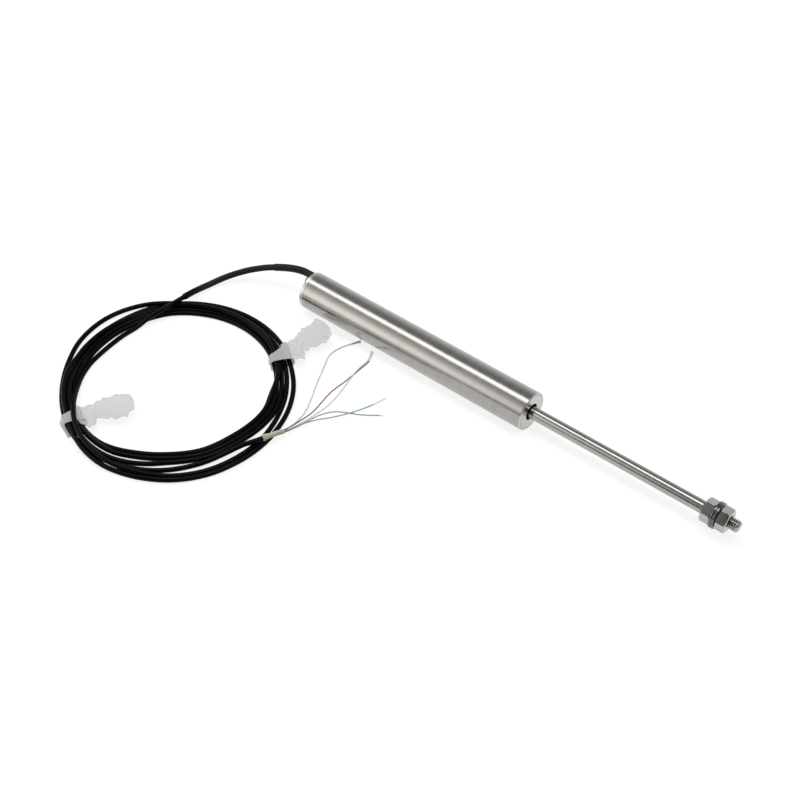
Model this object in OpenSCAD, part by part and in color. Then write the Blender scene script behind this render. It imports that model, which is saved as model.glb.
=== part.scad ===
// Linear displacement sensor. A round steel housing holds three windings round a bore, a core on
// the sliding rod moves in that bore, and a thin cable leaves the rear cap and lies in a coil.
// Frame: X runs along the rod towards its threaded end and Z is up. The origin is on the axis at
// the middle of the housing's length, and the floor is half a housing diameter below it.

/* [Housing] */
// Outer diameter of the housing
body_d = 19; // [18:0.5:24]
// Length of the housing from the rear face to the front face
body_len = 135; // [120:1:180]
// Wall of the housing tube
tube_wall = 1; // [0.6:0.1:1.2]
// Edge break on the tube's front edge
front_edge = 0.4; // [0.2:0.1:0.8]
// Length of the front cap inside the tube
front_cap_len = 10; // [8:0.5:14]
// Length of the rear cap's full-width head
rear_head_len = 4; // [3.5:0.5:8]
// Length of the rear cap's spigot inside the tube
rear_spigot_len = 6; // [4:0.5:10]
// Chamfer round the rear face
rear_chamfer = 1.2; // [0.6:0.1:1.4]

/* [Bush and bore] */
// Wall of the bush that guides the rod
bush_wall = 1; // [0.6:0.1:1.2]
// How far the bush is set back from the front face
bush_recess = 1.5; // [0.5:0.1:3]
// Bore of the liner in which the core slides
liner_bore = 8; // [7.8:0.1:8.4]
// Wall of the liner
liner_wall = 0.5; // [0.3:0.05:0.6]
// Depth of the seat that each cap has for the liner
liner_seat = 2; // [1:0.25:3]

/* [Windings] */
// Wall of the coil former's tube
former_wall = 0.5; // [0.3:0.05:0.8]
// Thickness of each former flange
flange_t = 1.2; // [0.8:0.1:2]
// Length of the primary winding
primary_len = 30; // [20:1:40]
// Wall of the magnetic shield
shield_wall = 0.5; // [0.3:0.05:0.7]
// Gap between the shield and the tube
shield_gap = 0.1; // [0.05:0.05:0.3]
// Thickness of the terminal board
board_t = 1.6; // [1:0.2:2.4]
// Space for the wiring between the board and the rear cap
wiring_space = 8; // [5:0.5:14]
// Diameter of the board's lead holes
lead_hole_d = 0.9; // [0.6:0.1:1.2]

/* [Rod and core] */
// Diameter of the rod
rod_d = 6; // [5.6:0.1:6.2]
// How far the rod's tip stands from the front face
rod_reach = 107; // [90:1:140]
// Outer diameter of the thread
thread_d = 5.85; // [5:0.05:5.9]
// Length of the thread
thread_len = 17.5; // [17:0.5:30]
// Chamfer on the rod's tip
tip_chamfer = 0.8; // [0.4:0.1:1.2]
// Diameter of the core
core_d = 7; // [6.4:0.1:7.2]
// Length of the core
core_len = 40; // [30:1:46]
// Diameter of the rod's spigot inside the core
spigot_d = 4; // [3:0.1:5]
// Length of the rod's spigot inside the core
spigot_len = 10; // [6:0.5:14]

/* [Core guide] */
// Width of the guide ring
guide_len = 4.8; // [3:0.1:8]
// Diameter of the screw's shoulder, on which the guide ring sits
shoulder_d = 4.5; // [4:0.1:5]
// Diameter of the screw's shank in the core
shank_d = 3; // [2:0.1:3.6]
// Length of the screw's shank in the core
shank_len = 6; // [4:0.5:10]
// Diameter of the screw's head
head_d = 6.4; // [5.6:0.1:7]
// Length of the screw's head
head_len = 2.2; // [1.6:0.1:3]
// Width across flats of the socket in the screw's head
socket_af = 2.5; // [1.5:0.1:3]
// Depth of the socket in the screw's head
socket_depth = 1.4; // [0.8:0.1:2]

/* [Nuts and washers] */
// Width across flats of a nut
nut_af = 10; // [9:0.1:11]
// Height of a nut
nut_h = 5; // [4:0.1:6]
// How far a nut's chamfer cuts in from its flats
nut_edge = 0.3; // [0.1:0.05:0.6]
// Countersink at each end of a nut's thread
nut_sink = 0.4; // [0.2:0.05:0.8]
// Turn of the inner nut about the rod
inner_nut_turn = 7; // [0:1:60]
// Turn of the outer nut about the rod
outer_nut_turn = 13; // [0:1:60]
// Outer diameter of a washer
washer_d = 12.5; // [11:0.1:14]
// Hole of a washer
washer_bore = 6.4; // [6.2:0.1:7]
// Thickness of a washer
washer_t = 1.2; // [0.8:0.1:1.6]
// Edge break on a washer's rim
washer_edge = 0.15; // [0.05:0.05:0.3]
// Length of thread that stands free past the outer nut
tip_free = 4.6; // [3:0.1:8]

/* [Cable] */
// Diameter of the cable
cable_d = 2.4; // [2:0.1:2.8]
// Diameter of the cable in its outer sleeve, from the rear cap to the coil
lead_d = 3.2; // [3:0.1:3.4]
// Diameter of the grommet round the lead at the rear cap
grommet_d = 3.8; // [3.7:0.1:4]
// Depth of the grommet's seat in the rear cap
grommet_seat = 3; // [2:0.25:3.5]
// Land left on the rear face outside the grommet's seat
exit_land = 0.2; // [0.1:0.05:0.6]
// Angle of the cable's exit about the axis, from +Y towards +Z
exit_angle = 37; // [0:1:90]
// Middle radius of the cable's coil
coil_r = 51; // [45:1:60]
// Turns that lie side by side in the coil
coil_columns = 5; // [3:1:6]
// Layers of turns in the coil
coil_layers = 2; // [1:1:3]
// Diameter of the woven sleeve at the cable's end
sleeve_d = 2; // [1.6:0.1:2.2]
// Diameter of a conductor
wire_d = 0.55; // [0.4:0.05:0.6]

/* [Ties] */
// Thickness of the film band round the coil
tie_t = 0.4; // [0.2:0.05:0.8]
// Angle that a band covers on the coil
tie_arc = 9; // [5:1:16]
// Length of a tie's gathered tail
tail_len = 25; // [16:1:28]
// Width of a tie's gathered tail
tail_w = 14; // [10:0.5:16]
// Thickness of a tie's gathered tail
tail_t = 1.6; // [0.8:0.1:2.4]
// How far the twist narrows each side of the tail
tail_twist = 2.4; // [1:0.1:3]
// Height of the ripples along the tail's edges
tail_ripple = 0.35; // [0.1:0.05:0.6]
// Slope of the tails above the floor
tail_slope = 6; // [2:1:12]

/* [Clearances] */
// Radial gap of the sliding and turning fits
run_gap = 0.05; // [0.02:0.01:0.1]
// Gap between pieces that are bonded or pressed together
bond_gap = 0.02; // [0.01:0.01:0.05]
// Gap at each end of the guide ring
end_play = 0.1; // [0.05:0.05:0.3]
// Gap round the cable in the rear cap
cable_gap = 0.1; // [0.05:0.05:0.2]

/* [Hidden] */
$fn = 96;
cord_sides = 8;
over = 1;

// Colours
steel = [0.72, 0.71, 0.69];
bright_steel = [0.80, 0.80, 0.79];
dark_polymer = [0.10, 0.10, 0.11];
copper = [0.72, 0.42, 0.22];
former_cream = [0.86, 0.82, 0.70];
shield_grey = [0.55, 0.56, 0.58];
board_green = [0.10, 0.36, 0.22];
core_grey = [0.48, 0.47, 0.46];
guide_white = [0.93, 0.93, 0.91];
cable_black = [0.05, 0.05, 0.055];
sleeve_straw = [0.78, 0.76, 0.60];
screen_grey = [0.72, 0.73, 0.73];
film_white = [0.85, 0.86, 0.86, 0.75];

// Places along the axis
front_x = body_len / 2;
rear_x = -body_len / 2;
head_x = rear_x + rear_head_len;
spigot_x = head_x + rear_spigot_len;
cap_x = front_x - front_cap_len;
board_x = spigot_x + wiring_space;
former_x0 = board_x + board_t;
former_x1 = cap_x;
former_len = former_x1 - former_x0;
secondary_len = (former_len - primary_len - 4 * flange_t) / 2;
null_x = (former_x0 + former_x1) / 2;
core_rear_x = null_x - core_len / 2;
core_front_x = null_x + core_len / 2;
shoulder_len = guide_len + 2 * end_play;
tip_x = front_x + rod_reach;
outer_nut_x = tip_x - tip_free - nut_h;
outer_washer_x = outer_nut_x - washer_t;
inner_washer_x = outer_washer_x - washer_t;
inner_nut_x = inner_washer_x - nut_h;

// Radii
body_r = body_d / 2;
tube_r = body_r - tube_wall;
cap_r = tube_r - bond_gap;
rod_r = rod_d / 2;
bush_r = rod_r + run_gap + bush_wall;
liner_r = liner_bore / 2 + liner_wall;
seat_r = liner_r + bond_gap;
former_r0 = liner_r + bond_gap;
former_r = former_r0 + former_wall;
shield_r = tube_r - shield_gap;
shield_r0 = shield_r - shield_wall;
flange_r = shield_r0 - bond_gap;
cable_r = cable_d / 2;
exit_r = body_r - rear_chamfer - exit_land - grommet_d / 2;

// Cable coil, measured from the point on the floor below the rear face
floor_z = -body_r;
exit_y = exit_r * cos(exit_angle);
exit_h = body_r + exit_r * sin(exit_angle);
coil_centre = [-8.5, -84];
coil_w = coil_columns * cable_d;
coil_h = coil_layers * cable_d;
coil_corner = cable_r;
coil_base = tie_t + bond_gap;
left_tie_angle = 246;
right_tie_angle = 59;
left_tail_turn = -11;
right_tail_turn = 29;
tail_neck = 0.25;
tail_neck_w = 0.1;
tail_ripples = 5;
tail_steps = 30;

// Cord routes in the same frame, with Z above the floor
lead_core = [[board_x - rear_x - bond_gap, exit_y, exit_h], [grommet_seat - 0.1, exit_y, exit_h]];
lead_out = [[grommet_seat - 0.2, exit_y, exit_h], [0, exit_y, exit_h], [-3, exit_y, exit_h]];
grommet_route = [
    [-7, 4.75, 13.3], [-11.3, 3.82, 13.1], [-16, 2.45, 12.35], [-20, 1.1, 11.4], [-24, -0.35, 10.3]
];
sleeved_route = [
    [-28, -2.2, 9.05], [-34.3, -5.8, 6.7], [-38.3, -9.1, 5.1], [-41.8, -12.9, 3.7],
    [-44.6, -17.4, 2.6], [-46.8, -22.4, 1.75], [-48.2, -28.1, 1.85], [-48.4, -32.2, 2.6],
    [-48, -38, 3.9]
];
lead_end = [[-47.99, -38.2, 3.92], [-47.8, -41, 4], [-47.5, -45, 3.6], [-47.4, -48, 3]];
tail_route = [[40.2, -97, 4], [43.6, -92.6, 4], [46.1, -88.4, 3.9], [47.8, -83.9, 3.7]];
sleeve_route = [[47.83, -83.8, 3.69], [49.7, -78.9, 3.3], [51.4, -73.9, 2.3]];
fan_r = 0.62;
fan_gap = 0.2;
screen_route = [
    [50.5, -66, 0.9], [48.9, -58, 0.4], [46, -51, 0.35], [41.7, -42.4, 0.35], [36.5, -31, 0.35],
    [33, -22, 0.35], [34, -15, 0.35], [36.3, -9.9, 0.4], [38.6, -6, 0.5]
];
red_route = [
    [51.7, -64, 1.2], [51.9, -56, 0.5], [51.2, -48, 0.35], [50.2, -40, 0.35], [50.6, -31, 0.35],
    [51.1, -20, 0.35], [50, -13, 0.4], [48.2, -8.3, 0.6]
];
white_route = [
    [52.5, -65, 0.5], [53.7, -57, 0.35], [54.5, -50, 0.35], [54, -42, 0.35], [52.6, -34.7, 0.35]
];
blue_route = [
    [53.3, -65, 0.5], [55.5, -56, 0.35], [59.2, -50, 0.35], [64.3, -46.6, 0.35], [69.5, -44, 0.35],
    [78.5, -37.5, 0.35]
];
green_route = [
    [53.9, -66, 1.6], [56.8, -60, 1.3], [61.8, -53.3, 1.2], [66.5, -46, 1.3], [70, -36.5, 0.5],
    [72.5, -28, 0.35]
];

// A piece turned about the X axis, from a profile of [radius, x] points
module turned(profile) {
    rotate([0, 90, 0])
        rotate_extrude()
            polygon(profile);
}

// A plain ring on the X axis
module ring(r0, r1, x0, x1) {
    turned([[r0, x0], [r1, x0], [r1, x1], [r0, x1]]);
}

// Puts a cord piece in the frame on the floor below the rear face
module on_floor() {
    translate([rear_x, 0, floor_z])
        children();
}

// Sweeps a round cord along a list of points, with one diameter or one for each point
function unit(v) = v / norm(v);
function heading(p, i) = unit(p[min(i + 1, len(p) - 1)] - p[max(i - 1, 0)]);
function hoop(centre, along, d) =
    let (side = unit(cross(along, [0, 0, 1])), rise = cross(side, along))
    [
        for (k = [0:cord_sides - 1])
            let (a = 360 * (k + 0.5) / cord_sides)
            centre + d / 2 * (cos(a) * side + sin(a) * rise)
    ];

module cord(p, d) {
    n = cord_sides;
    last = len(p) - 1;
    sides = [
        for (i = [0:last - 1], k = [0:n - 1])
            let (a = i * n + k, b = i * n + (k + 1) % n)
            [a, b, b + n, a + n]
    ];
    rear_end = [for (k = [n - 1:-1:0]) k];
    front_end = [for (k = [0:n - 1]) last * n + k];
    polyhedron(
        points = [for (i = [0:last]) each hoop(p[i], heading(p, i), is_list(d) ? d[i] : d)],
        faces = concat(sides, [rear_end], [front_end]),
        convexity = 6
    );
}

// Adds one point halfway along each step of a route, on a smooth curve
function midpoint(p, i) =
    let (a = p[max(i - 1, 0)], b = p[i], c = p[i + 1], d = p[min(i + 2, len(p) - 1)])
    (9 * (b + c) - (a + d)) / 16;
function smooth(p) = [for (i = [0:len(p) - 1]) each i < len(p) - 1 ? [p[i], midpoint(p, i)] : [p[i]]];

// Where a conductor leaves the end of the woven sleeve
function fan_start(angle, out) =
    let (
        end = sleeve_route[len(sleeve_route) - 1],
        along = heading(sleeve_route, len(sleeve_route) - 1),
        side = unit(cross(along, [0, 0, 1])),
        rise = cross(side, along)
    )
    end + out * along + fan_r * (cos(angle) * side + sin(angle) * rise);

module wire(angle, route) {
    on_floor()
        cord(concat([fan_start(angle, fan_gap), fan_start(angle, 3 * fan_gap)], route), wire_d);
}

// A rectangle with round corners, centred on its middle
module soft_rectangle(w, h, r) {
    square([w - 2 * r, h], center = true);
    square([w, h - 2 * r], center = true);
    for (x = [-1, 1], y = [-1, 1])
        translate([x * (w / 2 - r), y * (h / 2 - r)])
            circle(r);
}

// The coil's cross-section, grown by a margin
module coil_section(grow) {
    translate([coil_r, coil_base + coil_h / 2])
        soft_rectangle(coil_w + 2 * grow, coil_h + 2 * grow, coil_corner + grow);
}

module body_tube() {
    color(steel)
        turned([
            [tube_r, head_x], [body_r, head_x], [body_r, front_x - front_edge],
            [body_r - front_edge, front_x], [tube_r, front_x]
        ]);
}

module front_cap() {
    hole_r = bush_r + bond_gap;
    color(steel)
        turned([
            [seat_r, cap_x], [cap_r, cap_x], [cap_r, front_x], [hole_r, front_x],
            [hole_r, cap_x + liner_seat], [seat_r, cap_x + liner_seat]
        ]);
}

module front_bush() {
    color(dark_polymer)
        ring(rod_r + run_gap, bush_r, cap_x + liner_seat, front_x - bush_recess);
}

// Puts a piece on the cable's exit, with X from the rear face
module at_exit() {
    translate([rear_x, exit_y, exit_h + floor_z])
        children();
}

module rear_cap() {
    color(bright_steel)
        difference() {
            turned([
                [0, rear_x], [body_r - rear_chamfer, rear_x], [body_r, rear_x + rear_chamfer],
                [body_r, head_x], [cap_r, head_x], [cap_r, spigot_x], [seat_r, spigot_x],
                [seat_r, spigot_x - liner_seat], [0, spigot_x - liner_seat]
            ]);
            at_exit() {
                rotate([0, 90, 0])
                    cylinder(r = cable_r + cable_gap, h = spigot_x - rear_x + over);
                translate([-over, 0, 0])
                    rotate([0, 90, 0])
                        cylinder(d = grommet_d, h = grommet_seat + over);
            }
        }
}

module bore_liner() {
    color(steel)
        ring(liner_bore / 2, liner_r, spigot_x - liner_seat, cap_x + liner_seat);
}

module coil_former() {
    color(former_cream) {
        ring(former_r0, former_r, former_x0, former_x1);
        for (x = [
            former_x0,
            former_x0 + flange_t + secondary_len,
            former_x1 - 2 * flange_t - secondary_len,
            former_x1 - flange_t
        ])
            ring(former_r0 + former_wall / 2, flange_r, x, x + flange_t);
    }
}

// One winding that fills the former from x0 over a length
module winding(x0, length) {
    color(copper)
        ring(former_r + bond_gap, flange_r - bond_gap, x0 + bond_gap, x0 + length - bond_gap);
}

module secondary_coil_rear() {
    winding(former_x0 + flange_t, secondary_len);
}

module primary_coil() {
    winding(former_x0 + 2 * flange_t + secondary_len, primary_len);
}

module secondary_coil_front() {
    winding(former_x1 - flange_t - secondary_len, secondary_len);
}

module magnetic_shield() {
    color(shield_grey)
        ring(shield_r0, shield_r, former_x0, former_x1);
}

module terminal_board() {
    hole_circle_r = (liner_r + shield_r) / 2;
    color(board_green)
        difference() {
            ring(seat_r, cap_r, board_x, former_x0);
            for (k = [1:5])
                rotate([exit_angle + 60 * k, 0, 0])
                    translate([board_x - over, hole_circle_r, 0])
                        rotate([0, 90, 0])
                            cylinder(d = lead_hole_d, h = board_t + 2 * over);
        }
}

// The lead's sleeved path from the grommet's seat to the coil, and the part under the grommet
sleeved_path = concat(lead_out, smooth(concat(grommet_route, sleeved_route)));
grommet_path = [for (i = [0:len(lead_out) + 2 * len(grommet_route) - 2]) sleeved_path[i]];

module cable_grommet() {
    bottom = [grommet_seat - bond_gap, exit_y, exit_h];
    color(cable_black)
        on_floor()
            difference() {
                cord(concat([bottom], grommet_path), grommet_d - 2 * bond_gap);
                cord(concat([bottom + [over, 0, 0]], sleeved_path), lead_d + 2 * bond_gap);
            }
}

module cable_lead() {
    sizes = concat(
        [for (point = lead_core) cable_d], [for (point = sleeved_path) lead_d],
        [for (point = lead_end) cable_d]
    );
    color(cable_black)
        on_floor()
            cord(concat(lead_core, sleeved_path, lead_end), sizes);
}

module cable_coil() {
    color(cable_black)
        on_floor()
            translate(coil_centre)
                rotate_extrude()
                    coil_section(0);
}

module cable_tail() {
    color(cable_black)
        on_floor()
            cord(tail_route, cable_d);
}

module screen_sleeve() {
    color(sleeve_straw)
        on_floor()
            cord(sleeve_route, sleeve_d);
}

module screen_wire() {
    color(screen_grey)
        wire(180, screen_route);
}

module red_wire() {
    color("crimson")
        wire(108, red_route);
}

module green_wire() {
    color("seagreen")
        wire(36, green_route);
}

module blue_wire() {
    color("steelblue")
        wire(-36, blue_route);
}

module white_wire() {
    color("ivory")
        wire(-108, white_route);
}

// Half the width of a tie's tail at a share f of its length: a twisted neck and rippled edges
function tail_half(f, phase) =
    tail_w / 2
    - tail_twist * exp(-pow((f - tail_neck) / tail_neck_w, 2))
    + tail_ripple * sin(360 * tail_ripples * f + phase);

// A film band round the coil with its gathered tail, outwards or inwards
module tie(angle, turn, outwards) {
    rim = coil_w / 2 + bond_gap + tie_t / 2;
    edge_a = [for (k = [0:tail_steps]) [tail_len * k / tail_steps, tail_half(k / tail_steps, 0)]];
    edge_b = [for (k = [tail_steps:-1:0]) [tail_len * k / tail_steps, -tail_half(k / tail_steps, 140)]];
    color(film_white)
        on_floor()
            translate(coil_centre)
                difference() {
                    rotate([0, 0, angle]) {
                        rotate([0, 0, -tie_arc / 2])
                            rotate_extrude(angle = tie_arc)
                                coil_section(coil_base);
                        translate([coil_r + (outwards ? rim : -rim), 0, coil_base + coil_h / 2])
                            rotate([0, 0, outwards ? turn : 180 + turn])
                                rotate([0, -tail_slope, 0])
                                    translate([0, 0, -tail_t / 2])
                                        linear_extrude(tail_t)
                                            polygon(concat(edge_a, edge_b));
                    }
                    rotate_extrude()
                        coil_section(bond_gap);
                }
}

module left_tie() {
    tie(left_tie_angle, left_tail_turn, false);
}

module right_tie() {
    tie(right_tie_angle, right_tail_turn, true);
}

module core_guide() {
    color(guide_white)
        ring(
            shoulder_d / 2 + run_gap, liner_bore / 2 - run_gap,
            core_rear_x - end_play - guide_len, core_rear_x - end_play
        );
}

module guide_screw() {
    shoulder_x = core_rear_x - shoulder_len;
    head_x0 = shoulder_x - head_len;
    color(bright_steel)
        difference() {
            turned([
                [0, head_x0], [head_d / 2, head_x0], [head_d / 2, shoulder_x],
                [shoulder_d / 2, shoulder_x], [shoulder_d / 2, core_rear_x],
                [shank_d / 2, core_rear_x], [shank_d / 2, core_rear_x + shank_len],
                [0, core_rear_x + shank_len]
            ]);
            translate([head_x0 - over, 0, 0])
                rotate([0, 90, 0])
                    cylinder(d = socket_af / cos(30), h = socket_depth + over, $fn = 6);
        }
}

module core() {
    shank_r = shank_d / 2 + bond_gap;
    spigot_r = spigot_d / 2 + bond_gap;
    shank_end = core_rear_x + shank_len + bond_gap;
    spigot_end = core_front_x - spigot_len - bond_gap;
    color(core_grey)
        turned([
            [0, shank_end], [shank_r, shank_end], [shank_r, core_rear_x],
            [core_d / 2, core_rear_x], [core_d / 2, core_front_x], [spigot_r, core_front_x],
            [spigot_r, spigot_end], [0, spigot_end]
        ]);
}

module push_rod() {
    thread_x = tip_x - thread_len;
    thread_r = thread_d / 2;
    spigot_x0 = core_front_x - spigot_len;
    color(bright_steel)
        turned([
            [0, spigot_x0], [spigot_d / 2, spigot_x0], [spigot_d / 2, core_front_x],
            [rod_r, core_front_x], [rod_r, thread_x], [thread_r, thread_x],
            [thread_r, tip_x - tip_chamfer], [thread_r - tip_chamfer, tip_x], [0, tip_x]
        ]);
}

// A hexagon nut with both ends chamfered at 30 degrees, from x along the rod
module nut(x, turn) {
    corner_r = nut_af / 2 / cos(30);
    face_r = nut_af / 2 - nut_edge;
    fall = (corner_r - face_r) * tan(30);
    bore_r = thread_d / 2 + bond_gap;
    color(bright_steel)
        difference() {
            intersection() {
                translate([x, 0, 0])
                    rotate([turn, 0, 0])
                        rotate([0, 90, 0])
                            cylinder(r = corner_r, h = nut_h, $fn = 6);
                turned([
                    [0, x], [face_r, x], [corner_r, x + fall], [corner_r, x + nut_h - fall],
                    [face_r, x + nut_h], [0, x + nut_h]
                ]);
            }
            turned([
                [0, x - over], [bore_r + nut_sink + over, x - over], [bore_r, x + nut_sink],
                [bore_r, x + nut_h - nut_sink], [bore_r + nut_sink + over, x + nut_h + over],
                [0, x + nut_h + over]
            ]);
        }
}

module inner_nut() {
    nut(inner_nut_x, inner_nut_turn);
}

module outer_nut() {
    nut(outer_nut_x, outer_nut_turn);
}

// A plain washer from x along the rod
module washer(x) {
    r = washer_d / 2;
    color(bright_steel)
        turned([
            [washer_bore / 2, x], [r - washer_edge, x], [r, x + washer_edge],
            [r, x + washer_t - washer_edge], [r - washer_edge, x + washer_t],
            [washer_bore / 2, x + washer_t]
        ]);
}

module inner_washer() {
    washer(inner_washer_x);
}

module outer_washer() {
    washer(outer_washer_x);
}

body_tube();
front_cap();
front_bush();
rear_cap();
bore_liner();
coil_former();
primary_coil();
secondary_coil_front();
secondary_coil_rear();
magnetic_shield();
terminal_board();
cable_grommet();
cable_lead();
cable_coil();
cable_tail();
screen_sleeve();
screen_wire();
red_wire();
white_wire();
blue_wire();
green_wire();
left_tie();
right_tie();
core_guide();
guide_screw();
core();
push_rod();
inner_nut();
inner_washer();
outer_washer();
outer_nut();
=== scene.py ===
import math

import bmesh
import bpy
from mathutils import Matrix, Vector


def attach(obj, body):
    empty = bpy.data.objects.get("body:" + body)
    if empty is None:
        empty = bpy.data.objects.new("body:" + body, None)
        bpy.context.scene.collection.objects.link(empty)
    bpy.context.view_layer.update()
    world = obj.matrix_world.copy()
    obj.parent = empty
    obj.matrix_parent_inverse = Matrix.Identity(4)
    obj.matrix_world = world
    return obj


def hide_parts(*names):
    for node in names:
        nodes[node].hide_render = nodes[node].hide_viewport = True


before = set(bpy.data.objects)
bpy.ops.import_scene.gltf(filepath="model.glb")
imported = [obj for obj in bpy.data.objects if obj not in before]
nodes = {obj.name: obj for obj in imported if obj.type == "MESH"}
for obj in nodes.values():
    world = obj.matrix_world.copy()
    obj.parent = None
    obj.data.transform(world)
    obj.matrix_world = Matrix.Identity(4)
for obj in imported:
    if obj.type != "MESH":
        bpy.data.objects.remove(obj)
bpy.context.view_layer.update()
scene = bpy.context.scene
scene.view_settings.view_transform = "Standard"
mm = 0.001
print("frame loaded with", len(nodes), "CAD nodes")


# camera, solved from the housing's outline and the rod's end
cameraPlan = {
    "place": (0.2993, -0.3811, 0.4621),
    "aim": (0.0106, -0.0245, -0.0095),
    "lens": 63.45,
    "sensor": 36.0,
    "clip": (0.01, 30),
}


def setCamera(plan):
    data = bpy.data.cameras.new("camera")
    data.lens = plan["lens"]
    data.sensor_width = plan["sensor"]
    data.sensor_fit = "HORIZONTAL"
    data.clip_start, data.clip_end = plan["clip"]
    camera = bpy.data.objects.new("camera", data)
    camera.location = plan["place"]
    look = Vector(plan["aim"]) - Vector(plan["place"])
    camera.rotation_euler = look.to_track_quat("-Z", "Y").to_euler()
    scene.collection.objects.link(camera)
    scene.camera = camera


setCamera(cameraPlan)
print("camera placed")


# finishes: every surface varies in colour and roughness, and has a fine grain
noisePlan = {
    "patchDetail": 5,
    "patchRange": (0.3, 0.7),
    "roughRange": (0.25, 0.75),
    "grainDetail": 3,
    "grainDepth": 0.0001,
}


def addNode(tree, kind, values=None):
    node = tree.nodes.new("ShaderNode" + kind)
    for socket, value in (values or {}).items():
        node.inputs[socket].default_value = value
    return node


def addRamp(tree, value, stops):
    ramp = addNode(tree, "ValToRGB")
    while len(ramp.color_ramp.elements) < len(stops):
        ramp.color_ramp.elements.new(0.5)
    for stop, (place, color) in zip(ramp.color_ramp.elements, stops):
        stop.position = place
        stop.color = (*color, 1)
    tree.links.new(value, ramp.inputs["Fac"])
    return ramp.outputs["Color"]


def finish(name, color, roughness, metallic=0.0, mottle=0.1, mottleSize=300.0, grain=0.05,
           grainSize=2500.0, stretch=(1, 1, 1), roughSpread=0.06, sockets=None):
    material = bpy.data.materials.new(name)
    material.use_nodes = True
    tree = material.node_tree
    shader = tree.nodes["Principled BSDF"]
    shader.inputs["Metallic"].default_value = metallic
    for socket, value in (sockets or {}).items():
        shader.inputs[socket].default_value = value
    coords = addNode(tree, "TexCoord")
    mapping = addNode(tree, "Mapping", {"Scale": stretch})
    patch = addNode(tree, "TexNoise", {"Scale": mottleSize, "Detail": noisePlan["patchDetail"]})
    fine = addNode(tree, "TexNoise", {"Scale": grainSize, "Detail": noisePlan["grainDetail"]})
    shades = [[c * share for c in color] for share in (1 - mottle, 1 + mottle)]
    tone = addRamp(tree, patch.outputs["Fac"], list(zip(noisePlan["patchRange"], shades)))
    low, high = noisePlan["roughRange"]
    spread = addNode(tree, "MapRange", {"From Min": low, "From Max": high,
                                        "To Min": roughness - roughSpread,
                                        "To Max": roughness + roughSpread})
    bump = addNode(tree, "Bump", {"Strength": grain, "Distance": noisePlan["grainDepth"]})
    link = tree.links.new
    link(coords.outputs["Object"], mapping.inputs["Vector"])
    link(mapping.outputs["Vector"], patch.inputs["Vector"])
    link(mapping.outputs["Vector"], fine.inputs["Vector"])
    link(tone, shader.inputs["Base Color"])
    link(patch.outputs["Fac"], spread.inputs["Value"])
    link(spread.outputs["Result"], shader.inputs["Roughness"])
    link(fine.outputs["Fac"], bump.inputs["Height"])
    link(bump.outputs["Normal"], shader.inputs["Normal"])
    return material


# colour, roughness, metallic, mottle and its size, grain and its size, stretch, roughness spread
finishPlan = {
    "housingSteel": ((0.372, 0.362, 0.342), 0.22, 1.0, 0.05, 60, 0.10, 900, (6, 1, 1), 0.03),
    "capSteel": ((0.62, 0.605, 0.58), 0.34, 1.0, 0.06, 90, 0.12, 1200, (8, 1, 1), 0.04),
    "chamferSteel": ((0.95, 0.94, 0.92), 0.08, 1.0, 0.03, 200, 0.03, 1500, (1, 1, 1), 0.02),
    "faceSteel": ((0.56, 0.54, 0.515), 0.28, 1.0, 0.06, 140, 0.12, 1200, (1, 1, 1), 0.04),
    "rodSteel": ((0.385, 0.378, 0.36), 0.15, 1.0, 0.05, 120, 0.05, 1500, (4, 1, 1), 0.03),
    "fastenerSteel": ((0.43, 0.423, 0.41), 0.09, 1.0, 0.09, 500, 0.04, 2500, (1, 1, 1), 0.03),
    "washerSteel": ((0.17, 0.165, 0.16), 0.22, 1.0, 0.12, 500, 0.12, 2500),
    # the bush's black polymer, also painted on the steel wall of the face's hole as shade
    "bushPolymerAndBoreShade": ((0.018, 0.018, 0.018), 0.5),
    "linerSteel": ((0.55, 0.54, 0.52), 0.25, 1.0, 0.06, 80, 0.1, 900, (1, 8, 8)),
    "formerPlastic": ((0.62, 0.55, 0.38), 0.5, 0.0, 0.08, 200, 0.1),
    "windingCopper": ((0.56, 0.22, 0.07), 0.3, 1.0, 0.2, 700, 0.5, 1500, (6, 1, 1)),
    "shieldMetal": ((0.36, 0.37, 0.39), 0.35, 1.0, 0.1, 120, 0.15, 900, (1, 6, 6)),
    "boardLaminate": ((0.04, 0.19, 0.09), 0.42, 0.0, 0.15, 500, 0.15),
    "coreIron": ((0.28, 0.27, 0.26), 0.45, 1.0, 0.15, 300, 0.25),
    "guidePolymer": ((0.80, 0.80, 0.77), 0.4, 0.0, 0.04, 300, 0.05),
    "screwSteel": ((0.45, 0.45, 0.45), 0.3, 1.0, 0.1, 400, 0.1),
    "cableJacket": ((0.0022, 0.0022, 0.0024), 0.33, 0.0, 0.3, 250, 0.25, 1800, (1, 1, 1), 0.07,
                    {"Specular IOR Level": 0.085}),
    "grommetRubber": ((0.012, 0.012, 0.0118), 0.43, 0.0, 0.2, 300, 0.2, 1800, (1, 1, 1), 0.06,
                      {"Specular IOR Level": 0.2}),
    "sleeveWeave": ((0.84, 0.82, 0.64), 0.6, 0.0, 0.14, 900, 0.3, 4000),
    "wireScreen": ((0.90, 0.91, 0.90), 0.45, 0.0, 0.10, 900, 0.2),
    "wireRed": ((0.33, 0.010, 0.030), 0.45, 0.0, 0.15, 400, 0.1),
    "wireWhite": ((0.93, 0.925, 0.86), 0.4, 0.0, 0.03, 400, 0.1),
    "wireBlue": ((0.38, 0.52, 0.57), 0.4, 0.0, 0.12, 400, 0.1),
    "wireGreen": ((0.34, 0.52, 0.52), 0.4, 0.0, 0.12, 400, 0.1),
    "tinnedStrand": ((0.84, 0.84, 0.81), 0.4, 0.3, 0.08, 1500, 0.1),
    "tieFilm": ((0.82, 0.82, 0.825), 0.38, 0.0, 0.02, 120, 0.04, 500, (1, 1, 1), 0.05,
                {"Alpha": 0.52}),
}
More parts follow.
